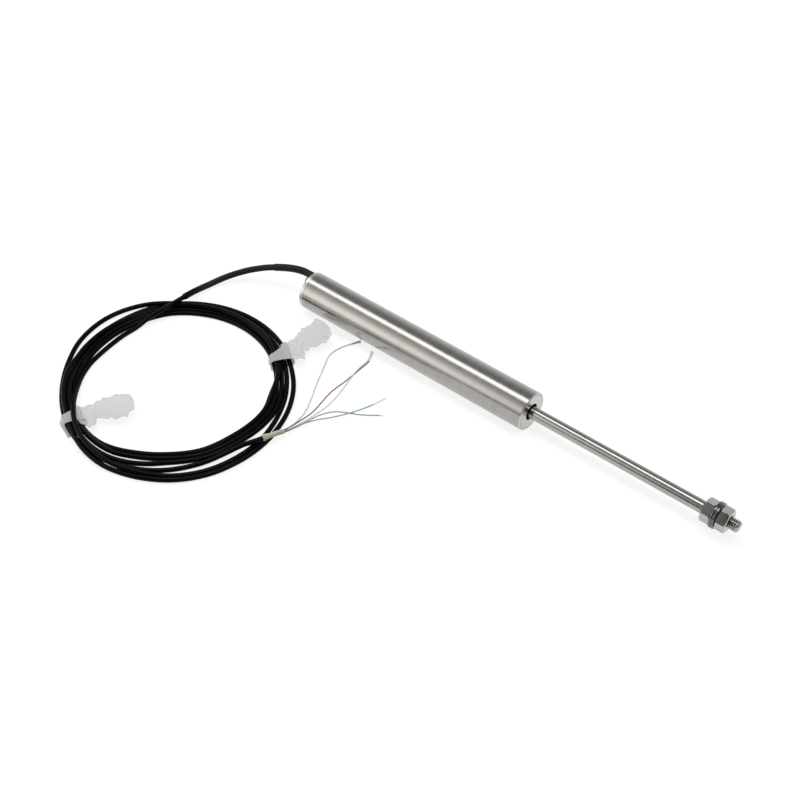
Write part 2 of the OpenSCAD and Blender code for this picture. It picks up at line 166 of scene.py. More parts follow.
finishes = {name: finish(name, *values) for name, values in finishPlan.items()}
print("finishes made:", len(finishes))


# how a piece joins the part: its finish, body and the CAD nodes it stands for
def fitPiece(piece, finishName, replaced=(), body="housing"):
    piece.data.materials.append(finishes[finishName])
    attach(piece, body)
    if replaced:
        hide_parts(*replaced)
    return piece


# routes: points are given as in the part's source, x from the rear face, height above the floor
rearFace = -67.5
floorLevel = -9.5
tiny = 1e-9


def onFloor(point):
    return Vector((point[0] + rearFace, point[1], point[2] + floorLevel))


def routeLength(line):
    return sum((b - a).length for a, b in zip(line, line[1:]))


def evenSteps(line, spacing):
    reach = [0.0]
    for a, b in zip(line, line[1:]):
        reach.append(reach[-1] + (b - a).length)
    count = max(2, round(reach[-1] / spacing))
    result, k = [], 0
    for i in range(count + 1):
        goal = reach[-1] * i / count
        while k < len(line) - 2 and reach[k + 1] < goal:
            k += 1
        part = (goal - reach[k]) / max(reach[k + 1] - reach[k], tiny)
        result.append(line[k].lerp(line[k + 1], part))
    return result


# a smooth curve through all the points
def smoothRoute(points, spacing, steps=12):
    pts = [Vector(p) for p in points]
    pts = [2 * pts[0] - pts[1]] + pts + [2 * pts[-1] - pts[-2]]
    fine = []
    for p0, p1, p2, p3 in zip(pts, pts[1:], pts[2:], pts[3:]):
        t1 = math.sqrt((p1 - p0).length)
        t2 = t1 + math.sqrt((p2 - p1).length)
        t3 = t2 + math.sqrt((p3 - p2).length)
        for k in range(steps):
            t = t1 + (t2 - t1) * k / steps
            a1 = p0.lerp(p1, t / t1)
            a2 = p1.lerp(p2, (t - t1) / (t2 - t1))
            a3 = p2.lerp(p3, (t - t2) / (t3 - t2))
            b1 = a1.lerp(a2, t / t2)
            b2 = a2.lerp(a3, (t - t1) / (t3 - t1))
            fine.append(b1.lerp(b2, (t - t1) / (t2 - t1)))
    fine.append(pts[-2])
    return evenSteps(fine, spacing)


def cordCurve(name, line, diameter, roundness, swell=None):
    data = bpy.data.curves.new(name, "CURVE")
    data.dimensions = "3D"
    data.bevel_depth = diameter / 2 * mm
    data.bevel_resolution = roundness
    data.use_fill_caps = True
    spline = data.splines.new("POLY")
    spline.points.add(len(line) - 1)
    for k, (knot, point) in enumerate(zip(spline.points, line)):
        knot.co = (*(point * mm), 1)
        knot.radius = swell[k] if swell else 1.0
    spline.use_smooth = True
    piece = bpy.data.objects.new(name, data)
    scene.collection.objects.link(piece)
    return piece


# meshes: corners in millimetres, doubles welded, edges sharp past an angle in degrees
weldGap = 0.000002
turnedSharp = 32
strandSharp = 60


def meshPiece(name, corners, faces, sharpAngle):
    data = bpy.data.meshes.new(name)
    data.from_pydata([tuple(Vector(c) * mm) for c in corners], [], faces)
    work = bmesh.new()
    work.from_mesh(data)
    bmesh.ops.remove_doubles(work, verts=work.verts, dist=weldGap)
    bmesh.ops.recalc_face_normals(work, faces=work.faces)
    work.to_mesh(data)
    work.free()
    data.shade_smooth()
    data.set_sharp_from_angle(angle=math.radians(sharpAngle))
    piece = bpy.data.objects.new(name, data)
    scene.collection.objects.link(piece)
    return piece


def joinRings(faces, start, rings, sides, closed=False):
    for i in range(rings if closed else rings - 1):
        a, b = start + i * sides, start + (i + 1) % rings * sides
        for s in range(sides):
            n = (s + 1) % sides
            faces.append((a + s, a + n, b + n, b + s))


def ringAt(x, radius, sides, axis=(0, 0)):
    turns = [math.tau * k / sides for k in range(sides)]
    return [(x, axis[0] + radius * math.cos(a), axis[1] + radius * math.sin(a)) for a in turns]


def hoop(point, side, rise, radius, sides):
    turns = [math.tau * s / sides for s in range(sides)]
    return [point + (side * math.cos(a) + rise * math.sin(a)) * radius for a in turns]


# the signal cable: lead, five and a half turns on the floor, and the tail that leaves the coil
cablePlan = {
    "diameter": 2.4,
    "roundness": 5,
    "centre": (-8.5, -84),
    "rest": 1.2,
    "leadIn": [(17.98, 4.951, 13.231), (10, 4.951, 13.231), (3, 4.951, 13.231),
               (-3, 4.951, 13.231)],
    "lead": [(-7, 4.75, 13.3), (-11.3, 3.82, 13.1), (-16, 2.45, 12.35), (-20, 1.1, 11.4),
             (-24, -0.35, 10.3), (-28, -2.2, 9.05), (-34.3, -5.8, 6.7), (-38.3, -9.1, 5.1),
             (-41.8, -12.9, 3.7), (-44.6, -17.4, 2.6), (-46.8, -22.4, 1.75), (-48.2, -28.1, 1.85),
             (-48.4, -32.2, 2.6), (-48, -38, 3.9)],
    # the lead's outer sleeve, from the rear face to the coil, with stepped ends
    "sleeve": {"diameter": 3.2, "start": (2.5, 4.951, 13.231), "end": (-48, -38.6, 4.05),
               "firstStep": 0.03, "lastSteps": (0.05, 0.08), "worn": 0.06,
               "greyFrom": 64.0, "greyOver": 5.0, "grey": (0.028, 0.028, 0.0276)},
    # where the lead climbs over the coil: angle, radius, height
    "climb": [(133.2, 57.0, 5.0), (136.7, 53.2, 5.9), (140.4, 51.2, 5.7), (145, 50.0, 4.6),
              (150, 49.1, 3.4), (155, 48.1, 2.2)],
    # radius of each turn, every ten degrees from the first angle
    "degrees": 10,
    "turns": [
        (160, [47.0, 45.7, 44.8, 44.8, 45.5, 46.0, 46.3, 47.0, 48.6, 50.7, 52.8, 54.2, 55.4, 55.8, 56.0,
               56.3, 56.5, 56.3, 55.6, 54.9, 54.1, 53.0, 52.2, 51.8, 51.5, 51.6, 51.9, 52.4, 52.9, 53.4,
               53.9, 54.4, 54.9, 55.3]),
        (140, [55.5, 54.9, 54.3, 53.5, 53.1, 52.6, 52.2, 52.8, 52.5, 52.3, 52.3, 53.2, 54.9, 56.4, 57.3,
               57.7, 58.2, 58.7, 58.9, 58.7, 58.0, 57.4, 56.8, 56.1, 55.6, 55.1, 54.7, 54.3, 54.4, 55.0,
               55.5, 56.0, 56.5, 57.0, 57.4, 57.8]),
        (140, [57.9, 57.1, 56.0, 55.1, 54.6, 54.1, 53.3, 52.3, 51.2, 50.9, 50.9, 51.2, 51.6, 51.9, 51.8,
               51.0, 49.8, 48.5, 48.4, 48.6, 48.2, 48.0, 48.6, 49.4, 49.9, 49.6, 49.1, 49.2, 49.5, 50.0,
               50.5, 51.0, 51.5, 52.0, 52.5, 52.9]),
        (140, [53.2, 52.6, 52.3, 51.9, 51.5, 51.0, 50.5, 49.9, 49.9, 49.7, 49.7, 49.6, 49.6, 49.6, 48.9,
               47.2, 46.4, 45.9, 46.0, 46.2, 45.8, 45.6, 46.2, 47.0, 47.5, 47.2, 46.7, 46.8, 47.1, 47.6,
               48.1, 48.6, 49.1, 49.6, 50.1, 50.6]),
        (140, [50.9, 50.3, 49.7, 49.2, 48.7, 48.3, 48.0, 48.2, 48.4, 48.4, 48.4, 48.4, 48.2, 47.6, 46.3,
               44.8, 44.0, 43.5, 43.6, 43.8, 43.4, 43.2, 43.7, 44.5, 45.1, 45.3, 46.8, 48.0, 48.3, 49.5,
               50.3, 51.0, 51.9, 52.9, 53.7, 54.6]),
        (140, [56.3, 60.0, 61.6, 61.5, 60.3, 58.6, 56.4, 54.9, 53.9, 53.5, 53.5, 53.9, 54.2, 54.3, 54.2,
               53.8, 53.5, 52.9, 52.0, 51.3, 50.9, 52.4]),
    ],
    # heights of the stretches that ride on other turns: turn, first angle, heights
    "raised": [
        (0, 200, [1.3, 1.4, 2.2, 3.9, 5.4, 5.7, 5.4, 4.9, 3.5, 2.6, 1.8]),
        (1, 160, [1.6, 2.7, 2.9, 3.0, 3.2, 3.4, 3.5, 3.4, 3.3, 3.4, 3.4, 2.6, 1.6]),
        (3, 200, [1.6, 2.6, 3.4, 3.3, 3.3, 3.2, 3.0, 2.6, 1.8]),
        (4, 390, [2.6, 3.5, 3.3, 3.3, 3.3, 3.4, 3.6, 3.5, 3.3, 3.3, 3.4]),
        (5, 140, [3.6, 1.9]),
        (5, 330, [1.4, 2.0, 3.4]),
    ],
    "tail": [(45.9, -88.6, 3.85), (47.83, -83.8, 3.69)],
    "spacing": 3.5,
    "length": 1.93,
}


def polar(plan, angle, radius, height):
    turn = math.radians(angle)
    x = plan["centre"][0] + radius * math.cos(turn)
    y = plan["centre"][1] + radius * math.sin(turn)
    return onFloor((x, y, height))


def cableLine(plan):
    heights = {}
    for turn, first, values in plan["raised"]:
        for k, value in enumerate(values):
            heights[turn, first + plan["degrees"] * k] = value
    points = [onFloor(p) for p in plan["leadIn"] + plan["lead"]]
    points += [polar(plan, *p) for p in plan["climb"]]
    for turn, (first, radii) in enumerate(plan["turns"]):
        for k, radius in enumerate(radii):
            angle = first + plan["degrees"] * k
            height = heights.get((turn, angle), plan["rest"])
            points.append(polar(plan, angle, radius, height))
    points += [onFloor(p) for p in plan["tail"]]
    return smoothRoute(points, plan["spacing"])


def sleevedLine(plan, line):
    sleeve = plan["sleeve"]
    first, last = (min(range(len(line)), key=lambda k: (line[k] - onFloor(spot)).length)
                   for spot in (sleeve["start"], sleeve["end"]))
    thick = sleeve["diameter"] / plan["diameter"]
    points, sizes = [], []
    for k, point in enumerate(line):
        points.append(point)
        sizes.append(thick if first < k <= last else 1.0)
        if k == first:
            points.append(point.lerp(line[k + 1], sleeve["firstStep"]))
            sizes.append(thick)
        if k == last:
            points += [point.lerp(line[k + 1], share) for share in sleeve["lastSteps"]]
            sizes += [thick - sleeve["worn"], 1.0]
    return points, sizes


def greyLead(material, plan):
    # the lead's outer sleeve is a little greyer than the coil
    sleeve = plan["sleeve"]
    tree = material.node_tree
    shader = tree.nodes["Principled BSDF"]
    coords = addNode(tree, "TexCoord")
    away = addNode(tree, "VectorMath", {1: onFloor((*plan["centre"], 0)) * mm})
    away.operation = "DISTANCE"
    full = sleeve["greyFrom"] + sleeve["greyOver"]
    zone = addNode(tree, "MapRange", {"From Min": sleeve["greyFrom"] * mm, "From Max": full * mm})
    mix = addNode(tree, "Mix")
    mix.data_type = "RGBA"
    mix.inputs["B"].default_value = (*sleeve["grey"], 1)
    link = tree.links.new
    coil = shader.inputs["Base Color"].links[0].from_socket
    link(coords.outputs["Object"], away.inputs[0])
    link(away.outputs["Value"], zone.inputs["Value"])
    link(zone.outputs["Result"], mix.inputs["Factor"])
    link(coil, mix.inputs["A"])
    link(mix.outputs["Result"], shader.inputs["Base Color"])


cableRoute = cableLine(cablePlan)
cablePoints, cableSizes = sleevedLine(cablePlan, cableRoute)
cable = cordCurve("cable", cablePoints, cablePlan["diameter"], cablePlan["roundness"], cableSizes)
greyLead(finishes["cableJacket"], cablePlan)
fitPiece(cable, "cableJacket", ("cable_lead", "cable_coil", "cable_tail"))
print("cable laid:", round(routeLength(cableRoute) * mm, 3), "m")


# tubes of many fine strands in one mesh
def addTube(corners, faces, line, radius, sides):
    start = len(corners)
    side = Vector((0, 0, 0))
    for k, point in enumerate(line):
        along = (line[min(k + 1, len(line) - 1)] - line[max(k - 1, 0)]).normalized()
        if k == 0:
            side = along.cross(Vector((0.31, 0.17, 0.93))).normalized()  # any way but along
        side = (side - along * side.dot(along)).normalized()
        corners += hoop(point, side, along.cross(side), radius, sides)
    joinRings(faces, start, len(line), sides)
    last = start + (len(line) - 1) * sides
    faces.append(tuple(range(start + sides - 1, start - 1, -1)))
    faces.append(tuple(range(last, last + sides)))


def frameAt(line, k):
    along = (line[min(k + 1, len(line) - 1)] - line[max(k - 1, 0)]).normalized()
    side = along.cross(Vector((0, 0, 1))).normalized()
    return along, side, side.cross(along)


# the woven screen over the cable's end: fine strands wound both ways, over and under
sleevePlan = {
    "route": [(47.3, -85.1, 3.72), (47.83, -83.8, 3.69), (49.7, -78.9, 3.3), (51.0, -75.0, 2.55)],
    "spacing": 0.16,
    "radius": 0.94,
    "strands": 10,
    "strandRadius": 0.14,
    "strandSides": 5,
    "pitch": 7.5,
    "weave": 0.09,
    # the plain core under the strands
    "coreGap": 0.2,
    "coreStep": 4,
    "coreSides": 14,
    # it is stretched wider where it goes over the cable
    "flare": 0.5,
    "flareAt": 0.5,
    "flareReach": 2.2,
}


def wovenSleeve(plan):
    line = smoothRoute([onFloor(p) for p in plan["route"]], plan["spacing"])
    corners, faces = [], []
    core = line[::plan["coreStep"]] + [line[-1]]
    addTube(corners, faces, core, plan["radius"] - plan["coreGap"], plan["coreSides"])
    step = routeLength(line) / (len(line) - 1)
    count = plan["strands"]
    for hand in (1, -1):
        for n in range(count):
            strand = []
            for k, point in enumerate(line):
                inside = (k * step - plan["flareAt"]) / plan["flareReach"]
                swell = 1.0 + plan["flare"] * math.exp(-inside ** 2)
                turn = hand * (math.tau * k * step / plan["pitch"]) + math.tau * n / count
                wave = math.cos(count * turn + (0 if hand > 0 else math.pi))
                side, rise = frameAt(line, k)[1:]
                far = plan["radius"] * swell + plan["weave"] * wave
                strand.append(point + (side * math.cos(turn) + rise * math.sin(turn)) * far)
            addTube(corners, faces, strand, plan["strandRadius"], plan["strandSides"])
    return meshPiece("woven_sleeve", corners, faces, strandSharp)


sleeve = fitPiece(wovenSleeve(sleevePlan), "sleeveWeave", ("screen_sleeve",))
print("woven sleeve made")


# the bare-ended conductors that fan out of the sleeve
wirePlan = {
    "diameter": 0.55,
    "roundness": 3,
    "spacing": 0.5,
    "jacketStep": 3,
    "sleeveEnd": sleevePlan["route"][-2:],
    "fan": 0.55,
    # how far a conductor starts inside the sleeve, and runs straight outside it
    "stub": (1.5, 0.6),
    "tip": {"radius": 0.1, "around": 0.15, "lay": 4.0, "fray": 0.0, "overlap": 2},
    "screen": {"radius": 0.13, "around": 0.22, "lay": 9.0, "fray": 9.0, "step": 4, "spacing": 0.3},
    "strands": 6,
    "strandSides": 6,
    "splay": 2.4,
    # finish, slot, angle in the fan, bare length, route
    "wires": {
        "screen_wire": ("wireScreen", "wire_screen", 180, 0, [
            (50.5, -66, 0.9), (48.9, -58, 0.4), (46, -51, 0.35), (41.7, -42.4, 0.35),
            (36.5, -31, 0.35), (33, -22, 0.35), (34, -15, 0.4), (36.7, -10.3, 0.9),
            (39.4, -6.9, 1.6)]),
        "red_wire": ("wireRed", "wire_red", 108, 7.0, [
            (51.7, -64, 1.2), (51.9, -56, 0.5), (50.9, -49, 0.35), (49.9, -41, 0.35),
            (50.5, -31, 0.35), (50.6, -21, 0.35), (50.6, -14.4, 0.4), (49.4, -11, 0.5),
            (47.9, -7.9, 0.6)]),
        "green_wire": ("wireGreen", "wire_green", 36, 7.5, [
            (53.9, -66, 1.6), (56.8, -60, 1.3), (61.8, -53.3, 1.2), (66.5, -46, 1.3),
            (70, -36.5, 0.5), (72.5, -28, 0.35)]),
        "blue_wire": ("wireBlue", "wire_blue", -36, 2.0, [
            (53.3, -65, 0.5), (55.5, -56, 0.35), (59.2, -50, 0.35), (64.3, -46.6, 0.35),
            (69.5, -44, 0.35), (78.5, -37.5, 0.35)]),
        "white_wire": ("wireWhite", "wire_white", -108, 6.5, [
            (52.5, -65, 0.5), (53.7, -57, 0.35), (54.5, -50, 0.35), (54, -42, 0.35),
            (52.6, -34.7, 0.35), (51.1, -28, 0.35), (49.9, -21, 0.35), (49.8, -14.6, 0.4),
            (48.7, -11.2, 0.5), (47.2, -8.1, 0.6)]),
    },
}


def twistedStrands(name, line, plan, twist):
    corners, faces = [], []
    step = routeLength(line) / (len(line) - 1)
    addTube(corners, faces, line, twist["radius"], plan["strandSides"])
    for n in range(plan["strands"]):
        strand = []
        for k, point in enumerate(line):
            left = (len(line) - 1 - k) * step
            splay = 1.0
            if left < twist["fray"]:
                splay += plan["splay"] * (1 - left / twist["fray"]) ** 2
            turn = math.tau * (k * step / twist["lay"] + n / plan["strands"])
            side, rise = frameAt(line, k)[1:]
            spread = side * math.cos(turn) * splay + rise * math.sin(turn)
            strand.append(point + spread * twist["around"])
        addTube(corners, faces, strand, twist["radius"], plan["strandSides"])
    return meshPiece(name, corners, faces, strandSharp)


def wireStart(plan, angle):
    ends = [onFloor(p) for p in plan["sleeveEnd"]]
    along, side, rise = frameAt(ends, 0)
    turn = math.radians(angle)
    out = (side * math.cos(turn) + rise * math.sin(turn)) * plan["fan"]
    inside, outside = plan["stub"]
    return [ends[1] + out - along * inside, ends[1] + out + along * outside]


for wireName, (wireFinish, wireSlot, fanAngle, bareEnd, stops) in wirePlan["wires"].items():
    start = wireStart(wirePlan, fanAngle)
    line = smoothRoute(start + [onFloor(p) for p in stops], wirePlan["spacing"])
    if wireName == "screen_wire":
        screen = wirePlan["screen"]
        fine = smoothRoute(line[::screen["step"]] + [line[-1]], screen["spacing"])
        wire = twistedStrands("screen_wire_strands", fine, wirePlan, screen)
        fitPiece(wire, wireFinish, (wireName,))
        continue
    cut = len(line) - round(bareEnd / wirePlan["spacing"])
    jacket = line[:cut:wirePlan["jacketStep"]] + [line[cut]]
    wire = cordCurve(wireName + "_jacket", jacket, wirePlan["diameter"], wirePlan["roundness"])
    fitPiece(wire, wireFinish, (wireName,))
    bare = line[cut - wirePlan["tip"]["overlap"]:]
    tip = twistedStrands(wireName + "_bare_end", bare, wirePlan, wirePlan["tip"])
    fitPiece(tip, "tinnedStrand")


# film ties: a gathered band round the coil and a crumpled leaf
tiePlan = {
    "centre": cablePlan["centre"],
    "film": 0.1,
    "band": {
        "rows": 60, "columns": 16, "slack": 0.5, "corner": 1.9, "cornerSteps": 8, "low": 0.12,
        # the flap starts at this height and is full this much lower
        "flapTop": 2.4, "flapFall": 1.2,
        # folds along the band: height and turn, how far they wander, and finer ones
        "fold": 0.13, "foldTurn": 7.5, "wander": 1.1, "fine": 0.06, "fineTurn": 15,
        "standOff": 0.1, "lowest": 0.08,
    },
    "leaf": {
        "rows": 72, "columns": 32, "fromOuter": 0.2, "fromInner": 0.6, "bow": 0.9,
        "lift": 3.0, "slope": 0.09, "lowest": 0.15,
        # the edges sway and ruffle, the upper one shifted against the lower one
        "sway": 0.3, "swayTurn": 2.1, "swayShift": 1.3,
        "ruffle": 0.30, "ruffleLength": 4.4, "ruffleShift": 2.2,
        # pleats and extra height at the band, and a broad wave further out
        "pleat": 0.35, "pleatTurn": 6.5, "pleatReach": 7, "rootRise": 1.7, "rootReach": 3.5,
        "broad": 0.30, "broadAcross": 0.5, "broadAlong": 0.3, "broadFrom": 6,
    },
    "ties": {
        "left_tie": {
            "angle": 246, "lean": -11, "outwards": False, "inner": 46.2, "outer": 54.9, "top": 4.8,
            "phase": 0.6,
            # the band's edges in degrees: near the leaf, on top, on the far side, and a flap low
            # on that side, which also stands out
            "near": (-6.0, 6.0), "over": (-3.6, 3.8), "far": (-2.5, 2.9), "flap": (0, 6.4),
            "push": 1.3,
            # the leaf's edges: along it and across it
            "upper": [(-2.4, 4.4), (0, 4.7), (2.3, 3.9), (4.1, 5.7), (5.5, 5.4), (8, 6.1),
                      (11.2, 7.4), (14.1, 6.6), (16.7, 7.4), (18.2, 7.9), (21, 6.4), (23.5, 6.2)],
            "lower": [(-2.0, -3.3), (-0.9, -6.4), (0.8, -7.8), (3.2, -8.7), (5.4, -8.2),
                      (6.4, -6.4), (6.7, -4.2), (8.6, -4.6), (10.1, -6.2), (12.8, -6.2),
                      (14.9, -8.0), (18.4, -7.7), (20.3, -8.4), (21.9, -5.9), (24.2, -4.4)],
        },
        "right_tie": {
            "angle": 59, "lean": 29, "outwards": True, "inner": 45.7, "outer": 55.8, "top": 4.8,
            "phase": 1.9,
            "near": (-5.0, 8.0), "over": (-3.6, 3.4), "far": (-4.5, 1.7), "flap": (-2.4, 0),
            "push": -0.4875,
            "upper": [(0.6, 7.4), (2.7, 7.9), (4.9, 7.2), (7.3, 5.6), (8.8, 5.9), (12.1, 6.9),
                      (16, 7.7), (18.4, 7.2), (20.7, 6.0), (23, 7.1), (24.2, 6.6), (25.1, 4.6),
                      (25.6, 3.4)],
            "lower": [(-4.0, -0.8), (-2.6, -3.9), (-1.1, -6.4), (0.3, -7.7), (1.8, -7.9),
                      (3.2, -6.3), (5.2, -3.7), (6.4, -4.7), (10, -4.6), (11.1, -6.9),
                      (14.3, -6.7), (16.3, -8.1), (18.6, -7.0), (21.6, -6.5)],
        },
    },
}


def addSheet(corners, faces, grid):
    start = len(corners)
    width = len(grid[0])
    for row in grid:
        corners.extend(row)
    for i in range(len(grid) - 1):
        for j in range(width - 1):
            a = start + i * width + j
            faces.append((a, a + 1, a + width + 1, a + width))


def bandLoop(inner, outer, top, band):
    # rounded loop round the turns, as (radius, height), from the middle of the outer side
    low, corner, steps = band["low"], band["corner"], band["cornerSteps"]
    loop = [Vector((outer, (low + top) / 2))]
    arcs = [(outer - corner, top - corner, 0), (inner + corner, top - corner, 90),
            (inner + corner, low + corner, 180), (outer - corner, low + corner, 270)]
    for x, y, first in arcs:
        for k in range(steps + 1):
            a = math.radians(first + 90 * k / steps)
            loop.append(Vector((x + corner * math.cos(a), y + corner * math.sin(a))))
    loop.append(loop[0].copy())
    return evenSteps(loop, routeLength(loop) / band["rows"])


def tieBand(corners, faces, plan, tie):
    band = plan["band"]
    loop = bandLoop(tie["inner"] - band["slack"], tie["outer"] + band["slack"], tie["top"], band)
    middle = sum(loop[:-1], Vector((0, 0))) / (len(loop) - 1)
    leafSide = 0 if tie["outwards"] else 0.5
    grid = []
    for i, spot in enumerate(loop):
        share = i / (len(loop) - 1)
        facing = 0.5 * math.cos(math.tau * (share - leafSide))
        near, far = (0.5 + facing) ** 2, (0.5 - facing) ** 2
        low = far * min(1, max(0, (band["flapTop"] - spot.y) / band["flapFall"]))
        first, last = (tie["near"][k] * near + tie["far"][k] * far
                       + tie["over"][k] * (1 - near - far) + tie["flap"][k] * low for k in (0, 1))
        wander = tie["phase"] + band["wander"] * math.sin(2 * math.tau * share)
        row = []
        for j in range(band["columns"] + 1):
            t = j / band["columns"]
            fold = band["fold"] * math.sin(band["foldTurn"] * t + wander)
            fold += band["fine"] * math.sin(band["fineTurn"] * t + 3 * math.tau * share)
            out = (spot - middle).normalized() * (band["standOff"] + fold)
            angle = tie["angle"] + first + (last - first) * t
            height = max(band["lowest"], spot.y + out.y)
            row.append(polar(plan, angle, spot.x + out.x + tie["push"] * low, height))
        grid.append(row)
    addSheet(corners, faces, grid)


def leafLift(leaf, phase, flat, t):
    # height of a point of the leaf, t going from the lower edge at -1 to the upper one at 1
    out = max(flat.x, 0)
    rise = leaf["rootRise"] * math.exp(-(max(flat.x + 1, 0) / leaf["rootReach"]) ** 2)
    wave = math.tau * flat.x / leaf["ruffleLength"] + phase + (leaf["ruffleShift"] if t > 0 else 0)
    ruffle = leaf["ruffle"] * abs(t) ** 3 * math.sin(wave)
    fade = math.exp(-out / leaf["pleatReach"])
    pleats = leaf["pleat"] * fade * math.sin(leaf["pleatTurn"] * t + phase)
    swing = leaf["broadAcross"] * flat.y + leaf["broadAlong"] * flat.x + phase
    broad = leaf["broad"] * math.sin(swing) * min(1, out / leaf["broadFrom"])
    lift = leaf["lift"] + rise + leaf["slope"] * flat.x + ruffle + pleats + broad
    return max(leaf["lowest"], lift)


def tieLeaf(corners, faces, plan, tie):
    leaf = plan["leaf"]
    phase = tie["phase"]
    a = math.radians(tie["angle"])
    root = tie["inner"] + leaf["fromInner"]
    if tie["outwards"]:
        root = tie["outer"] + leaf["fromOuter"]
    base = Vector((plan["centre"][0] + root * math.cos(a), plan["centre"][1] + root * math.sin(a)))
    b = math.radians(tie["angle"] + tie["lean"] + (0 if tie["outwards"] else 180))
    along, across = Vector((math.cos(b), math.sin(b))), Vector((-math.sin(b), math.cos(b)))
    edges = []
    for side in ("upper", "lower"):
        line = [Vector(p) for p in tie[side]]
        edges.append(evenSteps(line, routeLength(line) / leaf["rows"]))
    grid = []
    for i, (high, low) in enumerate(zip(*edges)):
        row = []
        for j in range(leaf["columns"] + 1):
            v = j / leaf["columns"]
            t = 2 * v - 1
            flat = low.lerp(high, v)
            flat.x += leaf["bow"] * math.sin(math.pi * v) * (i / leaf["rows"]) ** 6
            sway = leaf["swayTurn"] * flat.x + 3 * phase + (leaf["swayShift"] if t > 0 else 0)
            flat.y += leaf["sway"] * t * abs(t) * math.sin(sway)
            spot = base + along * flat.x + across * flat.y
            row.append(onFloor((spot.x, spot.y, leafLift(leaf, phase, flat, t))))
        grid.append(row)
    addSheet(corners, faces, grid)


def filmTie(name, plan, tie):
    corners, faces = [], []
    tieBand(corners, faces, plan, tie)
    tieLeaf(corners, faces, plan, tie)
    piece = meshPiece(name + "_film", corners, faces, 180)
    skin = piece.modifiers.new("film", "SOLIDIFY")
    skin.thickness = plan["film"] * mm
    skin.offset = 0
    return piece


for tieName, tie in tiePlan["ties"].items():
    fitPiece(filmTie(tieName, tiePlan, tie), "tieFilm", (tieName,))
print("film ties made")


# turned pieces, along X: outlines are (x, radius) in millimetres
def softEdges(outline, radii, steps=3, roomy=3):
    # each corner becomes an arc, with a row beside it on long sides
    result, count = [], len(outline)
    for i, size in enumerate(radii):
        here = Vector(outline[i])
        if not size:
            result.append(tuple(here))
            continue
        toward = Vector(outline[i - 1]) - here
        onward = Vector(outline[(i + 1) % count]) - here
        u, v = toward.normalized(), onward.normalized()
        half = u.angle(v) / 2
        cut = size / math.tan(half)
        middle = here + (u + v).normalized() * size / math.sin(half)
        first = here + u * cut - middle
        last = here + v * cut - middle
        a0 = math.atan2(first.y, first.x)
        turn = (math.atan2(last.y, last.x) - a0 + math.pi) % math.tau - math.pi
        if toward.length > roomy * (cut + size):
            result.append(tuple(here + u * (cut + size)))
        for k in range(steps + 1):
            a = a0 + turn * k / steps
            result.append((middle.x + size * math.cos(a), middle.y + size * math.sin(a)))
        if onward.length > roomy * (cut + size):
            result.append(tuple(here + v * (cut + size)))
    return result


def turnedPiece(name, outline, hollow=True, segments=144, axis=(0, 0)):
    corners, faces = [], []
    for x, r in outline:
        corners += ringAt(x, r, segments, axis)
    joinRings(faces, 0, len(outline), segments, hollow)
    return meshPiece(name, corners, faces, turnedSharp)


housingPlan = {
    "radius": 9.5,
    "wall": 1.0,
    "rear": rearFace,
    "joint": -63.5,
    "front": 67.5,
    "frontEdge": 0.4,
    "rearChamfer": 2.2,
    "rearTaper": 2.2,
    "capRadius": 8.48,
    "seat": 4.52,
    "seatDepth": 2.0,
    "hole": 4.07,
    "capFace": 57.5,
    "spigot": -57.5,
    # roundings of the outlines' corners, in their order
    "tubeRounds": [0.1, 0.12, 0.16, 0.16, 0.05],
    "faceRounds": [0.1, 0.2, 0.05, 0.25, 0.05, 0.05],
    "capRounds": [0, 0.15, 0.2, 0.12, 0.05, 0.2, 0.1, 0.1, 0],
    # where a second finish goes: from and to in lean towards +X, and in distance from the axis
    "frontEdgeZone": (0.3, 2, 9.05, 10),
    # the steel wall of the face's hole, painted black as shade in the recess
    "holeShadeZone": (-2, 2, 0, 4.17),
    "chamferZone": (-0.95, -0.3, 7.2, 10),
}
exitPlan = {"axis": (4.951, 3.731), "cableHole": 1.3, "seatHole": 1.9, "seatDepth": 3.0,
            "edge": 0.1, "segments": 48, "spare": 1}


def housingTube(p):
    bore = p["radius"] - p["wall"]
    outline = [(p["joint"], bore), (p["joint"], p["radius"]),
               (p["front"] - p["frontEdge"], p["radius"]),
               (p["front"], p["radius"] - p["frontEdge"]), (p["front"], bore)]
    return turnedPiece("housing_tube", softEdges(outline, p["tubeRounds"]))


def frontFace(p):
    deep = p["capFace"] + p["seatDepth"]
    outline = [(p["capFace"], p["seat"]), (p["capFace"], p["capRadius"]),
               (p["front"], p["capRadius"]), (p["front"], p["hole"]), (deep, p["hole"]),
               (deep, p["seat"])]
    return turnedPiece("front_face", softEdges(outline, p["faceRounds"]))


